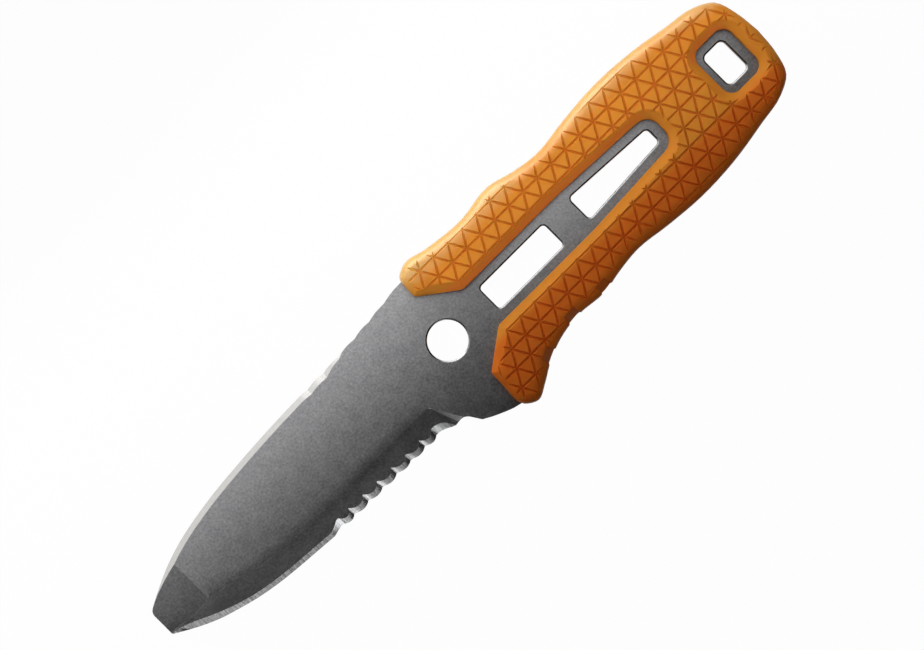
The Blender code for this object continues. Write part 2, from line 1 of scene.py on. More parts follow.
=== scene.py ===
"""Looks of a fixed-blade rescue knife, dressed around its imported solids."""
import logging
import math
from dataclasses import dataclass
from enum import Enum, IntEnum
from typing import Any, Iterable, Optional, Union

import bpy
from mathutils import Matrix, Vector


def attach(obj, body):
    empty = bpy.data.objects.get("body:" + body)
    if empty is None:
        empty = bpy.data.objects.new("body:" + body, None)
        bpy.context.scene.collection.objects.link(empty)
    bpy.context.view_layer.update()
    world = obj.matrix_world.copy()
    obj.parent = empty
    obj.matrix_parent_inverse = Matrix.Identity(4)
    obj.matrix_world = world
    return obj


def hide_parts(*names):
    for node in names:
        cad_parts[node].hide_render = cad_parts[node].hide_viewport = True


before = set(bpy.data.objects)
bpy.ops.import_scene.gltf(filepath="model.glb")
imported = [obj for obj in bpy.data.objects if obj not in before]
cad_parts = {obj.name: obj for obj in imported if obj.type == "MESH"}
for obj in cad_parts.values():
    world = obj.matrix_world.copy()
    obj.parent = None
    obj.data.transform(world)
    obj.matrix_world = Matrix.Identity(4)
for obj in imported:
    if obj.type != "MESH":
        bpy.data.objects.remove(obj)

LOG = logging.getLogger("knife")
MM = 0.001
DATUM = Vector((-3.75, 2.224, 6.5)) * MM   # centre of the round ricasso hole, at mid thickness
BODY = "root"
TINY = 1e-6   # metres, within which two points count as one

Span = tuple[float, float]
Triple = tuple[float, float, float]
Colour = tuple[float, float, float, float]


def at(x: float, y: float, z: float = 0.0) -> Vector:
    """A place in the frame from millimetres around the ricasso hole.

    Args:
        x: distance towards the butt.
        y: distance towards the spine.
        z: distance out of the shown side, from mid thickness.

    Returns:
        The point in metres.
    """
    return DATUM + Vector((x, y, z)) * MM


def within(value: float, span: Span) -> bool:
    """Whether a number lies between two others."""
    return span[0] < value < span[1]


def colour(red: float, green: float, blue: float) -> Colour:
    """An opaque colour."""
    return (red, green, blue, 1.0)


class Side(Enum):
    """The two faces of the knife."""

    SHOWN = 1
    FAR = -1


class Zone(IntEnum):
    """The finishes of the blade, with the tip facet's painted shade, in the order of its material slots."""

    PLATE = 0
    TEETH = 1
    SWEDGE = 2
    RIM = 3
    EDGE = 4
    TIP = 5


class Use(Enum):
    """What a lamp is for."""

    ALL = "all"
    MATT = "matt"
    SHEEN = "sheen"


class Value:
    """A shader value that Python's operators work on."""

    def __init__(self, tree: bpy.types.NodeTree, socket: bpy.types.NodeSocket) -> None:
        """Keep the socket and the tree that it belongs to."""
        self.tree = tree
        self.socket = socket

    def _math(self, operation: str, first: Any, second: Any = None) -> "Value":
        """Add one Math node.

        Args:
            operation: the node's operation.
            first: its first input, a number or a Value.
            second: its second input, if any.

        Returns:
            The node's result.
        """
        node = self.tree.nodes.new("ShaderNodeMath")
        node.operation = operation
        for slot, given in zip(node.inputs, (first, second)):
            if isinstance(given, Value):
                self.tree.links.new(given.socket, slot)
            elif given is not None:
                slot.default_value = given
        return Value(self.tree, node.outputs[0])

    def __add__(self, other: Any) -> "Value":
        """Sum."""
        return self._math("ADD", self, other)

    __radd__ = __add__

    def __sub__(self, other: Any) -> "Value":
        """Difference."""
        return self._math("SUBTRACT", self, other)

    def __rsub__(self, other: Any) -> "Value":
        """Difference from a number."""
        return self._math("SUBTRACT", other, self)

    def __mul__(self, other: Any) -> "Value":
        """Product."""
        return self._math("MULTIPLY", self, other)

    __rmul__ = __mul__

    def __truediv__(self, other: Any) -> "Value":
        """Quotient."""
        return self._math("DIVIDE", self, other)

    def __pow__(self, other: Any) -> "Value":
        """Power."""
        return self._math("POWER", self, other)

    def __rpow__(self, other: Any) -> "Value":
        """Power of a number."""
        return self._math("POWER", other, self)

    def natural_log(self) -> "Value":
        """The logarithm to the base e."""
        return self._math("LOGARITHM", self, math.e)

    def clipped(self) -> "Value":
        """The value held between 0 and 1."""
        return self._math("MINIMUM", self._math("MAXIMUM", self, 0.0), 1.0)

    def step(self, low: float, high: float) -> "Value":
        """A ramp from 0 at low to 1 at high."""
        return ((self - low) / (high - low)).clipped()

    def band(self, rise: Span, fall: Span) -> "Value":
        """A ramp from 0 up to 1 and, further on, back to 0."""
        return self.step(*rise) * (1 - self.step(*fall))

    def size(self) -> "Value":
        """The value without its sign."""
        return self._math("ABSOLUTE", self)

    def larger(self, other: Any) -> "Value":
        """The larger of two values."""
        return self._math("MAXIMUM", self, other)


class Shade:
    """One material under construction."""

    def __init__(self, name: str) -> None:
        """Start a material with its Principled shader.

        Args:
            name: name of the material.
        """
        self.material = bpy.data.materials.new(name)
        self.material.use_nodes = True
        self.tree = self.material.node_tree
        self.shader = self.tree.nodes["Principled BSDF"]
        self.output = self.tree.nodes["Material Output"]

    def node(self, kind: str, settings: Optional[dict] = None,
             inputs: Optional[dict] = None) -> bpy.types.Node:
        """Add a node of any kind.

        Args:
            kind: the node's type name.
            settings: properties that are set before its sockets.
            inputs: socket name or number to a value, a Value or a socket.

        Returns:
            The new node.
        """
        node = self.tree.nodes.new(kind)
        for key, given in (settings or {}).items():
            setattr(node, key, given)
        for key, given in (inputs or {}).items():
            self.plug(node.inputs[key], given)
        return node

    def plug(self, slot: bpy.types.NodeSocket, given: Any) -> None:
        """Set or link one socket.

        Args:
            slot: the socket.
            given: a number, a colour, a Value or another socket.
        """
        if isinstance(given, Value):
            self.tree.links.new(given.socket, slot)
        elif isinstance(given, bpy.types.NodeSocket):
            self.tree.links.new(given, slot)
        else:
            slot.default_value = given

    def value(self, socket: bpy.types.NodeSocket) -> Value:
        """Wrap a socket for shader maths."""
        return Value(self.tree, socket)

    def place(self, stretch: Triple = (1, 1, 1)) -> bpy.types.NodeSocket:
        """Object coordinates in millimetres.

        Args:
            stretch: extra scale along each axis.

        Returns:
            The vector socket.
        """
        coordinates = self.node("ShaderNodeTexCoord").outputs["Object"]
        scale = tuple(factor / MM for factor in stretch)
        scaled = self.node("ShaderNodeVectorMath", {"operation": "MULTIPLY"}, {0: coordinates, 1: scale})
        return scaled.outputs[0]

    def noise(self, scale: float, detail: float = 3.0, stretch: Triple = (1, 1, 1),
              roughness: float = 0.55) -> Value:
        """Noise with a number of waves per millimetre.

        Args:
            scale: waves per millimetre.
            detail: levels of finer noise.
            stretch: extra scale along each axis.
            roughness: share of the finer levels.

        Returns:
            The noise, about 0.5 on average.
        """
        settings = {"noise_dimensions": "3D"}
        inputs = {"Vector": self.place(stretch), "Scale": scale, "Detail": detail, "Roughness": roughness}
        return self.value(self.node("ShaderNodeTexNoise", settings, inputs).outputs[0])

    def distance(self, axis: str) -> Value:
        """Distance from the ricasso hole's centre along one axis, in millimetres.

        Args:
            axis: X, Y or Z.

        Returns:
            The signed distance.
        """
        parts = self.node("ShaderNodeSeparateXYZ", None, {0: self.place()})
        return self.value(parts.outputs[axis]) - getattr(DATUM, axis.lower()) / MM

    def along(self) -> Value:
        """Distance towards the butt."""
        return self.distance("X")

    def across(self) -> Value:
        """Distance towards the spine."""
        return self.distance("Y")

    def outwards(self) -> Value:
        """Distance from mid thickness."""
        return self.distance("Z").size()

    def mix(self, share: Union[Value, float], first: Any, second: Any) -> bpy.types.NodeSocket:
        """Mix two colours.

        Args:
            share: how much of the second.
            first: a colour or a socket.
            second: a colour or a socket.

        Returns:
            The colour socket.
        """
        node = self.node("ShaderNodeMix", {"data_type": "RGBA"}, {0: share, 6: first, 7: second})
        return node.outputs[2]

    def bump(self, height: Value, depth: float, strength: float = 1.0) -> None:
        """Feed the normal from a height.

        Args:
            height: the height field.
            depth: millimetres that a height of 1 stands for.
            strength: share of the effect.
        """
        inputs = {"Strength": strength, "Distance": depth * MM, "Height": height}
        self.plug(self.shader.inputs["Normal"], self.node("ShaderNodeBump", None, inputs).outputs[0])

    def set(self, **sockets: Any) -> None:
        """Set sockets of the Principled shader, with _ for a space in a name."""
        for key, given in sockets.items():
            self.plug(self.shader.inputs[key.replace("_", " ")], given)


@dataclass(frozen=True)
class BlastedSteel:
    """Bead-blasted plate, tumbled afterwards so that its grain is softly mottled.

    The grind line runs straight along the blade, at grind_line, and from about grind_bend to the tip it
    sweeps up towards the spine. Below it the main grind is painted darker as shade, most towards the tip.
    Distances are millimetres from the ricasso hole.
    """

    name: str = "blasted_steel"
    dark: Colour = colour(0.157, 0.157, 0.164)
    light: Colour = colour(0.290, 0.290, 0.293)
    # the near-black that the main grind is mixed towards, as painted shade
    deep: Colour = colour(0.020, 0.020, 0.022)
    contrast: Span = (0.33, 0.67)
    cloud_waves: float = 0.35
    cloud_share: float = 0.25
    grain_waves: float = 2.0
    speck_waves: float = 4.5
    grain_height: float = 0.0025
    roughness: float = 0.40
    grain_swing: float = 0.12
    cloud_swing: float = 0.08
    grind_line: float = -6.97
    grind_bend: float = -60.84
    grind_reach: float = 5.21
    grind_rise: float = 1.669
    grind_feather: float = 2.5
    grind_shade: float = 0.50
    shade_fade: Span = (-72.0, -32.0)
    shade_tip: Span = (-78.0, -74.0)
    tip_share: float = 0.5
    roll_width: float = 2.2
    roll_slope: float = 0.16
    roll_start: Span = (-75.0, -72.5)
    roll_stop: Span = (-16.0, -12.0)

    def build(self) -> bpy.types.Material:
        """Make the material.

        Returns:
            The material.
        """
        shade = Shade(self.name)
        cloud = shade.noise(self.cloud_waves, detail=2)
        grain = shade.noise(self.grain_waves, detail=3)
        speck = shade.noise(self.speck_waves, detail=1)
        tone = (cloud * self.cloud_share + grain * (1 - self.cloud_share)).step(*self.contrast)
        skin = shade.mix(tone, self.dark, self.light)
        rough = self.roughness + self.grain_swing * (grain - 0.5) + self.cloud_swing * (cloud - 0.5)
        # painted shade: the main grind is mixed towards the deep tone
        shade.set(Base_Color=shade.mix(self.painted_grind_shade(shade), skin, self.deep), Metallic=1.0, Roughness=rough)
        shade.bump((grain + speck) * self.grain_height - self.roll(shade), depth=1.0)
        return shade.material

    def above(self, shade: Shade) -> Value:
        """Distance above the grind line.

        Args:
            shade: the material under construction.

        Returns:
            The distance, negative on the main grind.
        """
        sweep = (1 + math.e ** ((self.grind_bend - shade.along()) / self.grind_reach)).natural_log()
        return shade.across() - (sweep * self.grind_rise + self.grind_line)

    def painted_grind_shade(self, shade: Shade) -> Value:
        """How much painted shade darkens the main grind against the flat, most of all towards the tip.

        Args:
            shade: the material under construction.

        Returns:
            The share of the deep tone.
        """
        along = shade.along()
        grind = 1 - self.above(shade).step(-self.grind_feather, 0.0)
        tip = self.tip_share + (1 - self.tip_share) * along.step(*self.shade_tip)
        return grind * (1 - along.step(*self.shade_fade)) * tip * self.grind_shade

    def roll(self, shade: Shade) -> Value:
        """Depth by which tumbling has rolled the flat into the main grind, in millimetres.

        Args:
            shade: the material under construction.

        Returns:
            The depth, 0 away from the grind line.
        """
        near = (self.roll_width - self.above(shade).size()).larger(0.0)
        ends = shade.along().band(self.roll_start, self.roll_stop)
        return near * near * ends * (self.roll_slope / (4 * self.roll_width))


@dataclass(frozen=True)
class GroundSteel:
    """A facet as it comes off the wheel, with scratches across the edge."""

    name: str = "ground_steel"
    dark: Colour = colour(0.28, 0.284, 0.292)
    light: Colour = colour(0.62, 0.625, 0.63)
    roughness: float = 0.30
    scratch_scale: Triple = (3.2, 0.35, 0.35)
    scratch_depth: float = 0.02
    scratch_swing: float = 0.14
    fine_waves: float = 3.0
    fine_share: float = 0.25
    contrast: Span = (0.35, 0.65)

    def build(self) -> bpy.types.Material:
        """Make the material.

        Returns:
            The material.
        """
        shade = Shade(self.name)
        scratch = shade.noise(1.0, detail=2, stretch=self.scratch_scale, roughness=0.6)
        fine = shade.noise(self.fine_waves, detail=2)
        tone = (scratch * (1 - self.fine_share) + fine * self.fine_share).step(*self.contrast)
        shade.set(Base_Color=shade.mix(tone, self.dark, self.light), Metallic=1.0,
                  Roughness=self.roughness + self.scratch_swing * (scratch - 0.5))
        shade.bump(scratch, self.scratch_depth, strength=0.5)
        return shade.material


@dataclass(frozen=True)
class MouldedOrange:
    """Matt orange plastic with the faint tooth of an etched mould.

    Its colour is painted with light and shade over the grip, by millimetres from the ricasso hole: yellower
    towards the lit spine and deeper red towards the shaded belly, a painted highlight of pale cream along the
    crest of the spine, which also has a polished coat, and a painted shade of redder orange on the sloping
    ledges over the slots and before the window. A copy for the grooves is mixed towards dark red as painted
    shade.
    """

    name: str = "moulded_orange"
    # painted light and shade: redder towards the shaded belly, yellower towards the lit spine
    belly: Colour = colour(0.86, 0.200, 0.022)
    spine: Colour = colour(0.88, 0.322, 0.038)
    # painted highlight: the pale cream along the crest of the spine
    crest: Colour = colour(0.76, 0.425, 0.090)
    # painted shade: a redder orange on the sloping ledges, which face away from the light
    ledge: Colour = colour(0.98, 0.270, 0.045)
    # painted shade inside the grooves: the plastic there is mixed towards this dark red
    groove_shade_colour: Colour = colour(0.45, 0.040, 0.003)
    groove_shade: float = 0.0
    mottle: float = 0.10
    contrast: Span = (0.3, 0.7)
    cloud_waves: float = 0.12
    cloud_share: float = 0.6
    tooth_waves: float = 4.5
    tooth_depth: float = 0.012
    roughness: float = 0.36
    tooth_swing: float = 0.10
    cloud_swing: float = 0.06
    gloss: float = 0.01
    polish: float = 1.0
    polish_roughness: float = 0.38
    glow: float = 0.35
    glow_reach: float = 0.5
    glow_radius: Triple = (1.0, 0.30, 0.08)
    belly_edge: Span = (-8.6, -6.8)
    painted_highlight_edge: Span = (12.3, 16.3)
    polish_edge: Span = (12.0, 15.0)
    butt_turn: Span = (74.0, 92.0)
    butt_drop: float = 4.0
    crown: float = 6.5
    ledge_depth: Span = (0.05, 0.9)
    slot_ledge: tuple[Span, Span] = ((4.0, 5.0), (7.4, 8.6))
    slot_ledge_end: Span = (87.0, 89.0)
    window_ledge: tuple[Span, Span] = ((68.0, 69.0), (76.0, 77.0))
    window_half: Span = (6.0, 7.0)

    def build(self) -> bpy.types.Material:
        """Make the material.

        Returns:
            The material.
        """
        shade = Shade(self.name)
        cloud = shade.noise(self.cloud_waves, detail=2)
        tooth = shade.noise(self.tooth_waves, detail=2)
        # how far up the crest, reaching further down the spine towards the butt, for the painted highlight
        # and the polished coat
        crest = shade.across() + shade.along().step(*self.butt_turn) * self.butt_drop
        # painted light and shade across the grip, then painted shade on the ledges and in the grooves, then
        # the painted highlight on the crest
        tint = shade.mix(shade.across().step(*self.belly_edge), self.belly, self.spine)
        # painted shade on the ledges
        tint = shade.mix(self.on_shaded_ledge(shade), tint, self.ledge)
        # painted shade: in the grooves' copy the colour is mixed towards a dark red
        tint = shade.mix(self.groove_shade, tint, self.groove_shade_colour)
        tint = shade.mix(crest.step(*self.painted_highlight_edge), tint, self.crest)
        tone = (cloud * self.cloud_share + tooth * (1 - self.cloud_share)).step(*self.contrast)
        deep = shade.mix(self.mottle, tint, colour(0, 0, 0))
        rough = self.roughness + self.tooth_swing * (tooth - 0.5) + self.cloud_swing * (cloud - 0.5)
        shade.set(Base_Color=shade.mix(tone, deep, tint),
                  Roughness=rough,
                  Coat_Weight=crest.step(*self.polish_edge) * self.polish,
                  Coat_Roughness=self.polish_roughness,
                  Specular_IOR_Level=self.gloss,
                  Subsurface_Weight=self.glow,
                  Subsurface_Radius=self.glow_radius,
                  Subsurface_Scale=self.glow_reach * MM)
        shade.bump(tooth, self.tooth_depth, strength=0.6)
        return shade.material

    def on_shaded_ledge(self, shade: Shade) -> Value:
        """Where the ledges over the slots and before the lanyard window are, which get a painted shade.

        Args:
            shade: the material under construction.

        Returns:
            1 on a ledge, 0 elsewhere.
        """
        along = shade.along()
        across = shade.across()
        over = across.band(*self.slot_ledge) * (1 - along.step(*self.slot_ledge_end))
        before = along.band(*self.window_ledge) * (1 - across.size().step(*self.window_half))
        sunk = self.crown - shade.outwards()
        return sunk.step(*self.ledge_depth) * over.larger(before)


@dataclass(frozen=True)
class PaperFloor:
    """White floor that the camera and the steel see as white, with a faint shadow left on it."""

    name: str = "white_floor"
    paper: Colour = colour(0.6, 0.6, 0.6)
    roughness: float = 0.9
    shadow_share: float = 0.02

    def build(self) -> bpy.types.Material:
        """Make the material.

        Returns:
            The material.
        """
        shade = Shade(self.name)
        shade.set(Base_Color=self.paper, Roughness=self.roughness)
        path = shade.node("ShaderNodeLightPath")
        seen = shade.value(path.outputs["Is Camera Ray"]).larger(shade.value(path.outputs["Is Glossy Ray"]))
        seen = seen.larger(shade.value(path.outputs["Is Transmission Ray"]))
        glow = shade.node("ShaderNodeEmission", None, {"Color": colour(1, 1, 1), "Strength": 1.0})
        inputs = {0: seen * (1 - self.shadow_share), 1: shade.shader.outputs[0], 2: glow.outputs[0]}
        both = shade.node("ShaderNodeMixShader", None, inputs)
        shade.plug(shade.output.inputs["Surface"], both.outputs[0])
        return shade.material


def only(piece: bpy.types.Object) -> None:
    """Make one object the only one selected, and active.

    Args:
        piece: the object.
    """
    bpy.ops.object.select_all(action="DESELECT")
    piece.select_set(True)
    bpy.context.view_layer.objects.active = piece


def edit_all(piece: bpy.types.Object) -> None:
    """Open one object in edit mode with all of it selected.

    Args:
        piece: the object.
    """
    only(piece)
    bpy.ops.object.mode_set(mode="EDIT")
    bpy.ops.mesh.select_all(action="SELECT")


def copied(node: str, name: str) -> bpy.types.Object:
    """A piece that starts as the merged copy of a solid.

    Args:
        node: name of the solid.
        name: name of the new piece.

    Returns:
        The new object.
    """
    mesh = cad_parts[node].data.copy()
    mesh.name = name
    mesh.materials.clear()
    piece = bpy.data.objects.new(name, mesh)
    bpy.context.scene.collection.objects.link(piece)
    edit_all(piece)
    bpy.ops.mesh.remove_doubles(threshold=TINY)
    bpy.ops.mesh.customdata_custom_splitnormals_clear()
    bpy.ops.object.mode_set(mode="OBJECT")
    return piece


def cut(piece: bpy.types.Object, cutter: bpy.types.Object) -> None:
    """Take a cutter out of a piece, which keeps the cutter's material in the cut, and delete the cutter.

    Args:
        piece: the object that is cut.
        cutter: the closed mesh that is taken away.
    """
    only(piece)
    modifier = piece.modifiers.new("cut", "BOOLEAN")
    modifier.operation = "DIFFERENCE"
    modifier.solver = "EXACT"
    modifier.material_mode = "TRANSFER"
    modifier.object = cutter
    bpy.ops.object.modifier_apply(modifier=modifier.name)
    bpy.data.objects.remove(cutter, do_unlink=True)


def drop_slivers(piece: bpy.types.Object, passes: int = 2) -> None:
    """Dissolve the edges without length that cutting leaves.

    Args:
        piece: the object that was cut.
        passes: how often, because one pass can leave an edge.
    """
    edit_all(piece)
    for _ in range(passes):
        bpy.ops.mesh.dissolve_degenerate(threshold=TINY)
    bpy.ops.object.mode_set(mode="OBJECT")


@dataclass
class Blade:
    """The steel from the screwdriver tip to the end of the tang.

    Places are millimetres from the ricasso hole. A level is a face's |normal.z|, and a tilt is its normal.x
    or normal.y.
    """

    node: str = "blade_tang"
    plate: BlastedSteel = BlastedSteel()
    teeth: GroundSteel = GroundSteel()
    swedge: GroundSteel = GroundSteel("swedge_steel", colour(0.30, 0.296, 0.288), colour(0.35, 0.345, 0.335),
                                      0.34, (0.5, 3.0, 3.0))
    rim: GroundSteel = GroundSteel("burnished_steel", colour(0.21, 0.21, 0.209), colour(0.28, 0.28, 0.278),
                                   0.22, (2.0, 2.0, 2.0))
    edge: GroundSteel = GroundSteel("honed_steel", colour(0.19, 0.192, 0.198), colour(0.64, 0.64, 0.64), 0.24)
    # painted shade: the tip facet gets a darker copy of the blasted steel
    tip: BlastedSteel = BlastedSteel("shaded_tip_steel", colour(0.124, 0.124, 0.130), colour(0.230, 0.230, 0.233))
    crease: float = 3.5
    tooth_crease: float = 38.0
    area_weight: int = 100
    flat_level: float = 0.9995
    facet_level: Span = (0.5, 0.97)
    opened: Span = (-6.0, 88.0)
    opened_half: float = 6.0
    rim_level: Span = (0.5, 0.9)
    serrated: Span = (-46.4, -11.3)
    teeth_end: float = -8.3
    tooth_tilt: float = -0.29
    plunge_start: float = -13.0
    plunge_tilt: float = -0.36
    edge_level: Span = (0.5, 0.995)
    edge_half: float = 0.48
    swedge_end: float = -17.0
    swedge_tilt: float = 0.35
    tip_end: float = -72.0
    tip_tilt: float = -0.05
    tip_level: float = 0.9
    tip_twist: float = 0.1

    def build(self) -> bpy.types.Object:
        """Copy the solid, part its facets and dress them.

        Returns:
            The finished piece.
        """
        piece = copied(self.node, "blade_steel")
        self.part_facets(piece)
        self.round_openings(piece)
        for finish in (self.plate, self.teeth, self.swedge, self.rim, self.edge, self.tip):
            piece.data.materials.append(finish.build())
        for face in piece.data.polygons:
            face.material_index = self.zone(piece.data, face)
        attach(piece, BODY)
        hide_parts(self.node)
        return piece

    def zone(self, mesh: bpy.types.Mesh, face: bpy.types.MeshPolygon) -> Zone:
        """Which finish a face gets.

        Args:
            mesh: the blade's mesh.
            face: one of its faces.

        Returns:
            The face's zone.
        """
        place = (face.center - DATUM) / MM
        tilt = face.normal
        level = abs(tilt.z)
        facet = within(level, self.facet_level)
        if within(place.x, self.opened):
            rim = abs(place.y) < self.opened_half and within(level, self.rim_level)
            return Zone.RIM if rim else Zone.PLATE
        if place.x < self.tip_end and tilt.x < self.tip_tilt:
            if abs(tilt.y) < self.tip_twist and level > self.tip_level:
                return Zone.TIP
        if place.x < self.serrated[0]:
            half = max(abs(mesh.vertices[number].co.z - DATUM.z) for number in face.vertices) / MM
            if half < self.edge_half and tilt.y < 0 and within(level, self.edge_level):
                return Zone.EDGE
        elif facet and tilt.y < self.tooth_tilt and place.x < self.teeth_end:
            plunge = place.x > self.plunge_start and tilt.x < self.plunge_tilt
            return Zone.PLATE if plunge else Zone.TEETH
        swedge = facet and tilt.y > self.swedge_tilt and place.x < self.swedge_end
        return Zone.SWEDGE if swedge else Zone.PLATE

    def part_facets(self, piece: bpy.types.Object) -> None:
        """Smooth along the bevels and keep every grind line sharp.

        Args:
            piece: the blade.
        """
        edit_all(piece)
        bpy.ops.mesh.select_mode(type="EDGE")
        bpy.ops.mesh.mark_sharp(clear=True)
        bpy.ops.mesh.faces_shade_smooth()
        bpy.ops.mesh.select_all(action="DESELECT")
        bpy.ops.mesh.edges_select_sharp(sharpness=math.radians(self.crease))
        bpy.ops.mesh.mark_sharp()
        bpy.ops.mesh.select_all(action="DESELECT")
        bpy.ops.mesh.edges_select_sharp(sharpness=math.radians(self.tooth_crease))
        bpy.ops.object.mode_set(mode="OBJECT")
        sharp = piece.data.attributes["sharp_edge"].data
        scallops = self.tooth_edges(piece.data)
        for edge in piece.data.edges:
            if edge.index in scallops and not edge.select:
                sharp[edge.index].value = False

    def tooth_edges(self, mesh: bpy.types.Mesh) -> set[int]:
        """Edges between two faces of the serrated bevel.

        Args:
            mesh: the blade's mesh.

        Returns:
            The edges' numbers.
        """
        count: dict[int, int] = {}
        for face in mesh.polygons:
            x = (face.center.x - DATUM.x) / MM
            if within(x, self.serrated) and self.zone(mesh, face) is Zone.TEETH and face.normal.z > 0:
                for loop in face.loop_indices:
                    edge = mesh.loops[loop].edge_index
                    count[edge] = count.get(edge, 0) + 1
        return {edge for edge, faces in count.items() if faces == 2}

    @staticmethod
    def edge_faces(mesh: bpy.types.Mesh) -> dict[tuple[int, int], list[bpy.types.MeshPolygon]]:
        """The faces beside every edge.

        Args:
            mesh: the mesh.

        Returns:
            A list of faces for each edge's key.
        """
        sides: dict[tuple[int, int], list[bpy.types.MeshPolygon]] = {}
        for face in mesh.polygons:
            for key in face.edge_keys:
                sides.setdefault(key, []).append(face)
        return sides

    def round_openings(self, piece: bpy.types.Object) -> None:
        """Let the small chamfers of the hole and the slots shade as rounded edges, and keep the flats flat.

        Args:
            piece: the blade.
        """
        mesh = piece.data
        sharp = mesh.attributes["sharp_edge"].data
        sides = self.edge_faces(mesh)
        for edge in mesh.edges:
            places = [(face.center - DATUM) / MM for face in sides[edge.key]]
            steepest = min(abs(face.normal.z) for face in sides[edge.key])
            beside = any(within(place.x, self.opened) and abs(place.y) < self.opened_half for place in places)
            if beside and within(steepest, self.rim_level):
                sharp[edge.index].value = False
        only(piece)
        modifier = piece.modifiers.new("weigh", "WEIGHTED_NORMAL")
        modifier.keep_sharp = True
        modifier.mode = "FACE_AREA"
        modifier.weight = self.area_weight
        bpy.ops.object.modifier_apply(modifier=modifier.name)
        normals = [tuple(corner.vector) for corner in mesh.corner_normals]
        for face in mesh.polygons:
            if abs(face.normal.z) > self.flat_level:
                for loop in face.loop_indices:
                    normals[loop] = tuple(face.normal)
        mesh.normals_split_custom_set(normals)


@dataclass
class GripScale:
    """One moulded half of the grip with its triangle pattern, in millimetres from the ricasso hole."""

    side: Side
    node: str
    crown: float = 6.5
    groove_width: float = 0.62
    groove_depth: float = 0.40
    row: float = 3.63
    rows: tuple[int, int] = (-6, 5)
    row_middle: float = 46.0
    row_length: float = 110.0
    pitch: float = 4.19
    crossing: float = 69.0
    slants: tuple[int, int] = (-22, 9)
    slant_length: float = 56.0
    slant_turn: float = 60.0
    smooth_angle: float = 32.0

    def build(self, plastic: bpy.types.Material, groove_shaded: bpy.types.Material) -> bpy.types.Object:
        """Copy the solid, press the pattern in and dress it.

        Args:
            plastic: the plastic that both halves share.
            groove_shaded: the same plastic with painted shade, as it is inside the grooves.

        Returns:
            The finished piece.
        """
        piece = copied(self.node, f"grip_{self.side.name.lower()}")
        piece.data.materials.append(plastic)
        turn = self.slant_turn
        for cutter in (self.rows_cutter(), self.slants_cutter(turn), self.slants_cutter(-turn)):
            # the cut walls get the grooves' copy of the plastic, with painted shade
            cutter.data.materials.append(groove_shaded)
            cut(piece, cutter)
        drop_slivers(piece)
        only(piece)
        bpy.ops.object.shade_smooth_by_angle(angle=math.radians(self.smooth_angle))
        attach(piece, BODY)
        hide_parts(self.node)
        return piece

    def on_face(self, x: float, y: float) -> Vector:
        """A point of the patterned face.

        Args:
            x: distance towards the butt.
            y: distance towards the spine.

        Returns:
            The point in metres.
        """
        point = at(x, y)
        point.z = DATUM.z + self.side.value * self.crown * MM
        return point

    def groove(self, length: float, turn: float, middle: Vector) -> bpy.types.Object:
        """One closed wedge that presses a groove: its tip in the plastic, its base as far outside.

        Args:
            length: its length.
            turn: angle to the knife's length in degrees.
            middle: its middle on the patterned face.

        Returns:
            The wedge.
        """
        bpy.ops.object.select_all(action="DESELECT")
        bpy.ops.mesh.primitive_cylinder_add(vertices=3, radius=1.0, depth=length * MM, location=(0, 0, 0))
        wedge = bpy.context.object
        depth = self.groove_depth * MM
        half = self.groove_width * MM   # at the base, which is twice as wide as the groove at the face
        turned = Matrix.Rotation(math.radians(turn), 3, "Z")
        for vertex in wedge.data.vertices:
            tip = abs(vertex.co.x) < TINY
            span = 0.0 if tip else math.copysign(half, vertex.co.x)
            height = -depth if tip else depth
            vertex.co = turned @ Vector((vertex.co.z, span, self.side.value * height)) + middle
        edit_all(wedge)
        bpy.ops.mesh.normals_make_consistent(inside=False)
        bpy.ops.object.mode_set(mode="OBJECT")
        return wedge

    @staticmethod
    def repeated(wedge: bpy.types.Object, count: int, step: Vector) -> bpy.types.Object:
        """A row of equal wedges.

        Args:
            wedge: the first one.
            count: how many.
            step: distance from one to the next.

        Returns:
            The same object, with the row in its mesh.
        """
        only(wedge)
        modifier = wedge.modifiers.new("row", "ARRAY")
        modifier.count = count
        modifier.use_relative_offset = False
        modifier.use_constant_offset = True
        modifier.constant_offset_displace = step
        bpy.ops.object.modifier_apply(modifier=modifier.name)
        return wedge

    def rows_cutter(self) -> bpy.types.Object:
        """The grooves that run along the knife.

        Returns:
            The cutter.
        """
        first, last = self.rows
        wedge = self.groove(self.row_length, 0.0, self.on_face(self.row_middle, first * self.row))
        return self.repeated(wedge, last - first + 1, Vector((0, self.row * MM, 0)))

    def slants_cutter(self, turn: float) -> bpy.types.Object:
        """The grooves that cross the knife at an angle.

        Args:
            turn: their angle to the knife's length in degrees.

        Returns:
            The cutter.
        """
        first, last = self.slants
        wedge = self.groove(self.slant_length, turn, self.on_face(self.crossing + first * self.pitch, 0.0))
        return self.repeated(wedge, last - first + 1, Vector((self.pitch * MM, 0, 0)))


@dataclass
class LockPins:
    """The hidden pins, which stay as solids."""

    count: int = 8

    def dress(self, plastic: bpy.types.Material) -> None:
        """Give every pin the plastic.

        Args:
            plastic: the plastic.
        """
        for number in range(1, self.count + 1):
            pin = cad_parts[f"lock_pin_{number}"]
            pin.data.materials.clear()
            pin.data.materials.append(plastic)


@dataclass(frozen=True)
class Lamp:
    """One lamp, with places in millimetres around the ricasso hole and its size in metres."""

    name: str
    place: Triple
    aim: Triple
    size: Span
    power: float
    spread: float = 180.0
    use: Use = Use.ALL


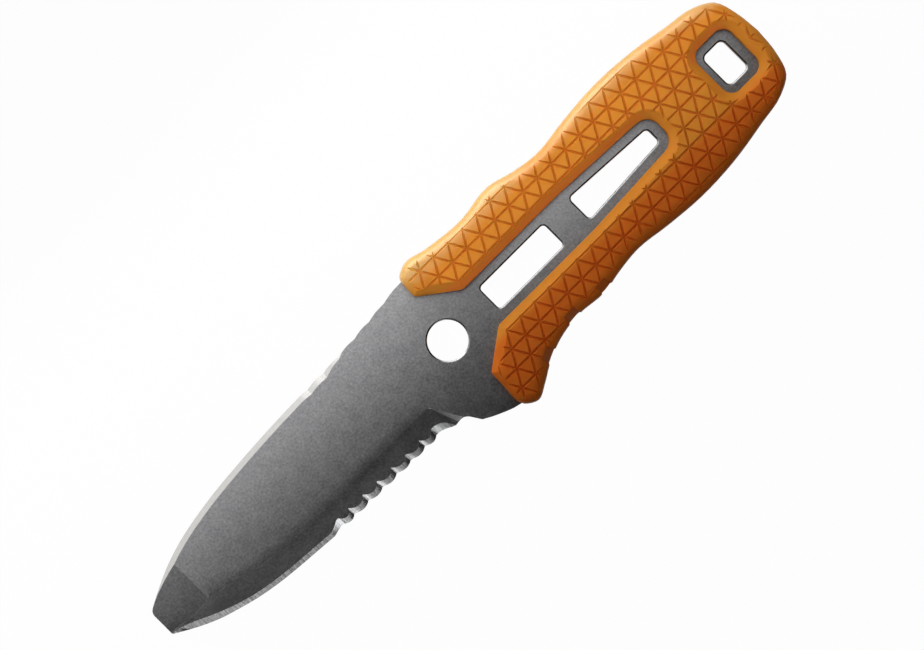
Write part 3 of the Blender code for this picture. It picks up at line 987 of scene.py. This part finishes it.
LAMPS = (
    Lamp("key", (5, 65.8, 23.9), (5, 0, 0), (0.30, 0.04), 0.085),
    Lamp("near", (0, 10, 60), (0, 10, 0), (0.30, 0.04), 0.0125, 70, Use.MATT),
    Lamp("top", (0, 30, 60), (0, 30, 0), (0.30, 0.04), 0.042, 70, Use.MATT),
    Lamp("fill", (30, -90, 200), (20, 0, 0), (0.20, 0.10), 0.045, 180, Use.MATT),
    Lamp("bank", (5, 40, 57), (5, 0, 0), (0.30, 0.04), 0.030, 180, Use.SHEEN),
    Lamp("beam", (0, 26, 80), (0, 26, 0), (0.30, 0.04), 0.0118, 60, Use.SHEEN),
    Lamp("card", (-60, -120, 45), (-35, 0, 0), (0.10, 0.04), 0.036, 180, Use.SHEEN),
    Lamp("rim", (48, 74, 30), (48, 14, 2), (0.12, 0.07), 0.15, 180, Use.SHEEN),
    Lamp("web", (42, 8, 70), (42, 8, 0), (0.044, 0.02), 0.00018, 30, Use.SHEEN),
    Lamp("strip", (-66, -108, 111), (-66, -8, 0), (0.10, 0.02), 0.0009, 70, Use.SHEEN),
    Lamp("tip", (-116, -82, 122), (-79, -6, 0), (0.06, 0.05), 0.0012, 70, Use.SHEEN),
)


@dataclass
class Studio:
    """Floor, lamps and camera, in millimetres."""

    middle: Span = (4.455, 0.18)
    view_width: float = 195.1
    view_height: float = 4.0
    lens: float = 200.0
    sensor: float = 36.0
    far_clip: float = 20000.0
    floor_size: float = 4000.0
    floor_gap: float = 0.2
    room_light: float = 0.02

    def build(self) -> None:
        """Set everything up."""
        self.floor()
        self.camera()
        for given in LAMPS:
            self.lamp(given)
        self.world()
        bpy.context.scene.view_settings.view_transform = "Standard"

    def floor(self) -> None:
        """A wide floor just under the knife."""
        bpy.ops.object.select_all(action="DESELECT")
        bpy.ops.mesh.primitive_plane_add(size=self.floor_size * MM, location=(0, 0, -self.floor_gap * MM))
        floor = bpy.context.object
        floor.name = "floor"
        floor.data.materials.append(PaperFloor().build())

    def camera(self) -> None:
        """Straight above the knife, turned so that its length runs along the picture's diagonal."""
        data = bpy.data.cameras.new("camera")
        data.lens = self.lens
        data.sensor_width = self.sensor
        data.clip_end = self.far_clip * MM
        camera = bpy.data.objects.new("camera", data)
        bpy.context.scene.collection.objects.link(camera)
        half = math.sqrt(0.5)
        right = Vector((half, -half, 0))
        up = Vector((half, half, 0))
        pose = Matrix((right, up, Vector((0, 0, 1)))).transposed().to_4x4()
        away = self.lens * self.view_width / self.sensor
        pose.translation = at(*self.middle, self.view_height + away)
        camera.matrix_world = pose
        bpy.context.scene.camera = camera

    @staticmethod
    def lamp(given: Lamp) -> None:
        """Hang one lamp.

        Args:
            given: what it is and where it hangs.
        """
        data = bpy.data.lights.new(given.name, "AREA")
        data.shape = "RECTANGLE"
        data.size, data.size_y = given.size
        data.energy = given.power
        data.spread = math.radians(given.spread)
        lamp = bpy.data.objects.new(given.name, data)
        bpy.context.scene.collection.objects.link(lamp)
        place = at(*given.place)
        back = (place - at(*given.aim)).normalized()
        along = Vector((1, 0, 0))
        along = (along - back * along.dot(back)).normalized()
        pose = Matrix((along, back.cross(along), back)).transposed().to_4x4()
        pose.translation = place
        lamp.matrix_world = pose
        lamp.visible_camera = False
        lamp.visible_diffuse = given.use is not Use.SHEEN
        lamp.visible_glossy = given.use is not Use.MATT

    def world(self) -> None:
        """An even, dim room."""
        world = bpy.data.worlds.new("room")
        world.use_nodes = True
        background = world.node_tree.nodes["Background"]
        background.inputs["Color"].default_value = colour(1, 1, 1)
        background.inputs["Strength"].default_value = self.room_light
        bpy.context.scene.world = world


def main() -> None:
    """Build the pieces in order."""
    logging.basicConfig(level=logging.INFO, format="%(name)s: %(message)s")
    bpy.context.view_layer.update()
    blade = Blade().build()
    LOG.info("%s has %d faces", blade.name, len(blade.data.polygons))
    plastic = MouldedOrange().build()
    # the grooves' copy of the plastic, mixed towards dark red as painted shade
    groove_shaded = MouldedOrange("groove_shaded_orange", groove_shade=0.27).build()
    for side, node in ((Side.SHOWN, "grip_scale_right"), (Side.FAR, "grip_scale_left")):
        scale = GripScale(side, node).build(plastic, groove_shaded)
        LOG.info("%s has %d faces", scale.name, len(scale.data.polygons))
    pins = LockPins()
    pins.dress(plastic)
    LOG.info("%d lock pins dressed", pins.count)
    Studio().build()


if __name__ == "__main__":
    main()
